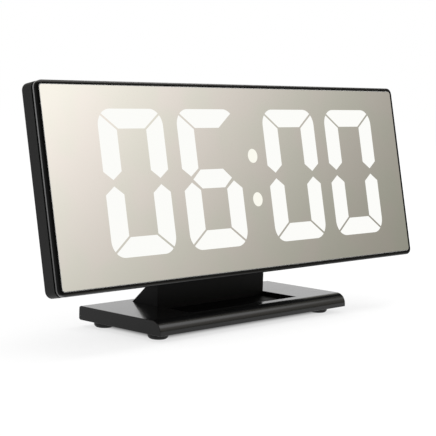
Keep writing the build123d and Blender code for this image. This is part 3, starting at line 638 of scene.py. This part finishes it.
cells = put("sleeved_cells", cell_finish, [cell(rise, side) for rise, side in cell_rows])
cell_points = np.empty(len(cells.data.vertices) * 3)
cells.data.vertices.foreach_get("co", cell_points)
cell_points = cell_points.reshape(-1, 3)
cell_axes = head([(0, rise, cell_depth) for rise, _ in cell_rows])
cell_gap = np.linalg.norm(cell_points[:, None, 1:] - cell_axes[None, :, 1:], axis=-1)
cell_side = np.array([side for _, side in cell_rows])[cell_gap.argmin(1)]
cell_values = {"along": cell_side * cell_points[:, 0] - cell_end + cell_length, "girth": cell_gap.min(1)}
for value_name, values in cell_values.items():
    cells.data.attributes.new(value_name, "FLOAT", "POINT").data.foreach_set("value", values)
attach(cells, "clock")
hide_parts("battery_cells")


# Battery door
# A flat black plate, moulded like the cover, hung on two pins at its lower edge, with a finger scoop on top.
# Three low ridges and an arrowhead below the scoop show which way it opens.

door = show("door_moulding", merged("battery_door"), cover_finish, cover_edge)
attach(door, "door")
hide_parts("battery_door")

ridge_low, ridge_high = 29.3 * mm, 29.65 * mm
ridge_rises, ridge_width, ridge_height = (33.4 * mm, 34.8 * mm, 36.2 * mm), 12 * mm, 0.7 * mm
arrow_rise, arrow_scale = 29.6 * mm, 1.6
ridge_outlines = [bar_outline(rise, ridge_width, ridge_height) for rise in ridge_rises]
arrow_outline = arrowhead * arrow_scale * (1, -1) + (0, arrow_rise)
ridge_grids = [head(prism(outline, ridge_low, ridge_high)) for outline in ridge_outlines + [arrow_outline]]
ridges = put("door_ridges", cover_finish, ridge_grids)
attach(ridges, "door")


# Cover and stand screws
# Four screws near the head's corners hold the cover to the frame, and two below hold the head to the neck.
# Their plated heads lie in round recesses of the back.

def in_head(form, across, rise, seat):
    """A screw's form set with its axis along the head's depth, its head facing the back."""
    return head(np.stack([across + form[..., 0], rise - form[..., 1], seat + form[..., 2]], -1))


cover_screw_x, cover_screw_rises, cover_seat = 85.3 * mm, (13.0 * mm, 56.1 * mm), 10.1 * mm
cover_screw = cross_screw(4.1 * mm)
cover_places = [(x, rise, cover_seat) for x in (-cover_screw_x, cover_screw_x) for rise in cover_screw_rises]
cover_screws = put("cover_screw_set", steel, [in_head(cover_screw, *place) for place in cover_places])
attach(cover_screws, "clock")
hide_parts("cover_screws")

stand_screw_x, stand_rise, stand_seat = 14 * mm, 3.8 * mm, 28.5 * mm
stand_screw = cross_screw(4.2 * mm)
stand_places = [(x, stand_rise, stand_seat) for x in (-stand_screw_x, stand_screw_x)]
stand_screws = put("stand_screw_set", steel, [in_head(stand_screw, *place) for place in stand_places])
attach(stand_screws, "clock")
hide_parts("stand_screws")


# Studio
# A white floor, its glow painted down under the base as a shadow, in a soft white surround that gloss shows as a
# warm gradient in front and a soft box at the right. A broad lamp hangs above and a small one at the right, and
# the camera has the photograph's viewing angle.

def seen(place):
    """One for rays from the camera, or from it by way of gloss or glass; zero for rays that light things."""
    kinds = ("Camera", "Glossy", "Transmission")
    rays = [place.node("ShaderNodeLightPath", out=f"Is {kind} Ray") for kind in kinds]
    return rays[0] + rays[1] + rays[2]


backward, upward = (0, 1, 0), (0, 0, 1)
floor_reach = 4
floor_matt = {"Base Color": grey(0.3), "Roughness": 0.9, "Specular IOR Level": 0.0, "Emission Strength": 0.7}
floor_finish, floor_skin, floor_place = new_finish("white_floor", floor_matt)
floor_beside = floor_place.along(rightward).size() - base_high[0]
floor_before = floor_place.along(backward).size() - base_high[1]
# Painted shade: more than a few millimetres inside the base's outline, the floor's white glow falls to a twentieth,
# so the floor there shows as a dark shadow.
floor_glow_painted_shade = floor_beside.at_least(floor_before).ease(-11 * mm, -3.5 * mm) * 0.95 + 0.05
(floor_glow_painted_shade * seen(floor_place)).blend(grey(0), grey(1)).into(floor_skin, "Emission Color")
floor_corners = np.array([(-1, -1, 0), (1, -1, 0), (1, 1, 0), (-1, 1, 0)]) * floor_reach
floor_mesh = bpy.data.meshes.new("floor")
floor_mesh.from_pydata(floor_corners.tolist(), [], [(0, 1, 2, 3)])
floor_mesh.materials.append(floor_finish)
floor = bpy.data.objects.new("floor", floor_mesh)
bpy.context.scene.collection.objects.link(floor)

world = bpy.data.worlds.new("studio")
bpy.context.scene.world = world
world.use_nodes = True
sky = Flow(world.node_tree).node("ShaderNodeTexCoord", out="Generated")
sky_near = (sky.along((0.39, -0.7334, 0.5565)) - 0.76).at_least(0)
sky_front = (sky_near * sky_near * 34).at_most(1)
sky_warm = sky_front.blend((0.364, 0.354, 0.296, 1), (1.389, 1.319, 1.222, 1))
sky_rise = sky.along(upward)
sky_back = sky.along(backward).ease(0.05, 0.4) * (1 - sky_rise.ease(0.2, 0.5))
sky_high = sky_rise.ease(0.7, 0.82)
sky_box = sky.along((0.58, -0.5, 0.643)).ease(0.945, 0.99)
sky_shown = sky_box.blend(sky_back.at_least(sky_high).blend(sky_warm, grey(1.0)), grey(3.0))
sky_glossy = sky.node("ShaderNodeLightPath", out="Is Glossy Ray")
sky_camera = sky.node("ShaderNodeLightPath", out="Is Camera Ray")
sky_light = sky_camera.blend(sky_glossy.blend(grey(1.0), sky_shown), grey(1.0))
sky_light.into(world.node_tree.nodes["Background"], "Color")


def lamp(name, place, size, energy):
    """A round soft lamp that points at the clock."""
    data = bpy.data.lights.new(name, "AREA")
    data.shape = "DISK"
    data.size = size
    data.energy = energy
    made = bpy.data.objects.new(name, data)
    made.location = place
    made.rotation_euler = (-Vector(place)).to_track_quat("-Z", "Y").to_euler()
    bpy.context.scene.collection.objects.link(made)


lamp("broad_lamp", place=(-0.1, 0.1, 1.2), size=1.0, energy=2)
lamp("small_lamp", place=(0.84, 0.08, 0.86), size=0.35, energy=2.5)

eye = (-0.37253, -0.33993, 0.08999)
yaw, pitch, roll = 0.8288, 0.1029, 0.0322
ahead = np.array((sin(yaw) * cos(pitch), cos(yaw) * cos(pitch), -sin(pitch)))
level = np.array((cos(yaw), -sin(yaw), 0))
above = np.cross(level, ahead)
camera_right = cos(roll) * level + sin(roll) * above
camera_up = cos(roll) * above - sin(roll) * level
camera_axes = np.stack([camera_right, camera_up, -ahead], -1)
camera_data = bpy.data.cameras.new("camera")
camera_data.lens = 112.8
camera_data.sensor_width = 36
camera = bpy.data.objects.new("camera", camera_data)
camera.matrix_world = Matrix([(*row, place) for row, place in zip(camera_axes, eye)] + [(0, 0, 0, 1)])
bpy.context.scene.collection.objects.link(camera)
bpy.context.scene.camera = camera
bpy.context.scene.view_settings.view_transform = "Standard"
